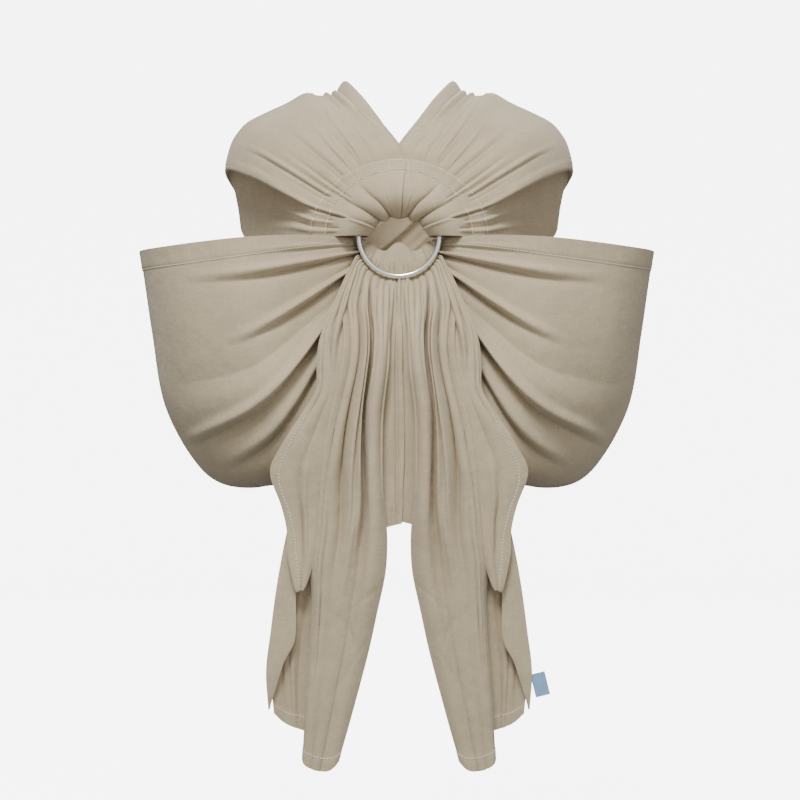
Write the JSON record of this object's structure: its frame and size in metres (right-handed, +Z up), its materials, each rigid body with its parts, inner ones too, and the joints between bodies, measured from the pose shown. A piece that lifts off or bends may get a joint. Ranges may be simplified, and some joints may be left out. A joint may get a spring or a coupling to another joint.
{
  "type": "ring sling baby carrier",
  "caption": "Woven cloth ring sling with a pouch on each hip, crossed back, gathered shoulders, a pair of metal rings in front and hanging tails.",
  "frame": {"origin": "middle of the neck's base, at the height where the cloths rest on the wearer's shoulders", "axes": "+Z up, the front faces -Y, +X to the wearer's left"},
  "size_m": [0.5606, 0.3037, 0.7281],
  "materials": {
    "cloth": "matte woven linen and cotton",
    "hem_cloth": "matte woven linen and cotton, turned and stitched",
    "seam_thread": "matte sewing thread",
    "ring_metal": "smooth silver",
    "label_tape": "light blue woven tape, blank"
  },
  "bodies": {
    "harness": {"rear_ring": "ring_metal", "left_ring_sleeve": "cloth", "right_ring_sleeve": "cloth", "left_shoulder_panel": "cloth", "right_shoulder_panel": "cloth", "left_neck_hem": "hem_cloth", "right_neck_hem": "hem_cloth", "left_inner_ring_seam": "seam_thread", "right_inner_ring_seam": "seam_thread", "left_outer_ring_seam": "seam_thread", "right_outer_ring_seam": "seam_thread", "left_underarm_panel": "cloth", "right_underarm_panel": "cloth", "left_back_band": "cloth", "right_back_band": "cloth", "left_throat": "cloth", "right_throat": "cloth"},
    "front_ring": {"front_ring": "ring_metal"},
    "left_pouch": {"left_pouch_panel": "cloth", "left_pouch_top_hem": "hem_cloth", "left_pouch_bottom_hem": "hem_cloth"},
    "left_gather": {"left_tail_gather": "cloth"},
    "left_tail": {"left_tail_panel": "cloth", "left_tail_side_hem": "hem_cloth", "left_tail_end_hem": "hem_cloth", "left_tail_fold": "cloth"},
    "right_pouch": {"right_pouch_panel": "cloth", "right_pouch_top_hem": "hem_cloth", "right_pouch_bottom_hem": "hem_cloth"},
    "right_gather": {"right_tail_gather": "cloth"},
    "right_tail": {"right_tail_panel": "cloth", "right_tail_side_hem": "hem_cloth", "right_tail_end_hem": "hem_cloth", "right_tail_fold": "cloth"},
    "label": {"label": "label_tape"}
  },
  "joints": [
    {"name": "front_ring_tilt", "type": "hinge", "parent": "harness", "child": "front_ring", "pos_m": [0, -0.139, -0.1234], "axis": [-1, 0, 0], "range_deg": [0, 15]},
    {"name": "left_pouch_swing", "type": "hinge", "parent": "harness", "child": "left_pouch", "pos_m": [-0.046, -0.14, -0.168], "axis": [-0.2958, 0.9512, -0.0879], "range_deg": [0, 12]},
    {"name": "left_tail_swing", "type": "hinge", "parent": "harness", "child": "left_gather", "pos_m": [0, -0.133, -0.2095], "axis": [-1, 0, 0], "range_deg": [0, 60]},
    {"name": "left_tail_pull", "type": "slide", "parent": "left_gather", "child": "left_tail", "axis": [0, 0, -1], "range_m": [0, 0.06]},
    {"name": "right_pouch_swing", "type": "hinge", "parent": "harness", "child": "right_pouch", "pos_m": [0.046, -0.14, -0.168], "axis": [-0.2958, -0.9512, 0.0879], "range_deg": [0, 12]},
    {"name": "right_tail_swing", "type": "hinge", "parent": "harness", "child": "right_gather", "pos_m": [0, -0.133, -0.2095], "axis": [-1, 0, 0], "range_deg": [0, 60]},
    {"name": "right_tail_pull", "type": "slide", "parent": "right_gather", "child": "right_tail", "axis": [0, 0, -1], "range_m": [0, 0.06]},
    {"name": "label_flap", "type": "hinge", "parent": "right_tail", "child": "label", "pos_m": [0.1335, -0.1793, -0.625], "axis": [0.2419, 0, -0.9703], "range_deg": [0, 60]}
  ]
}
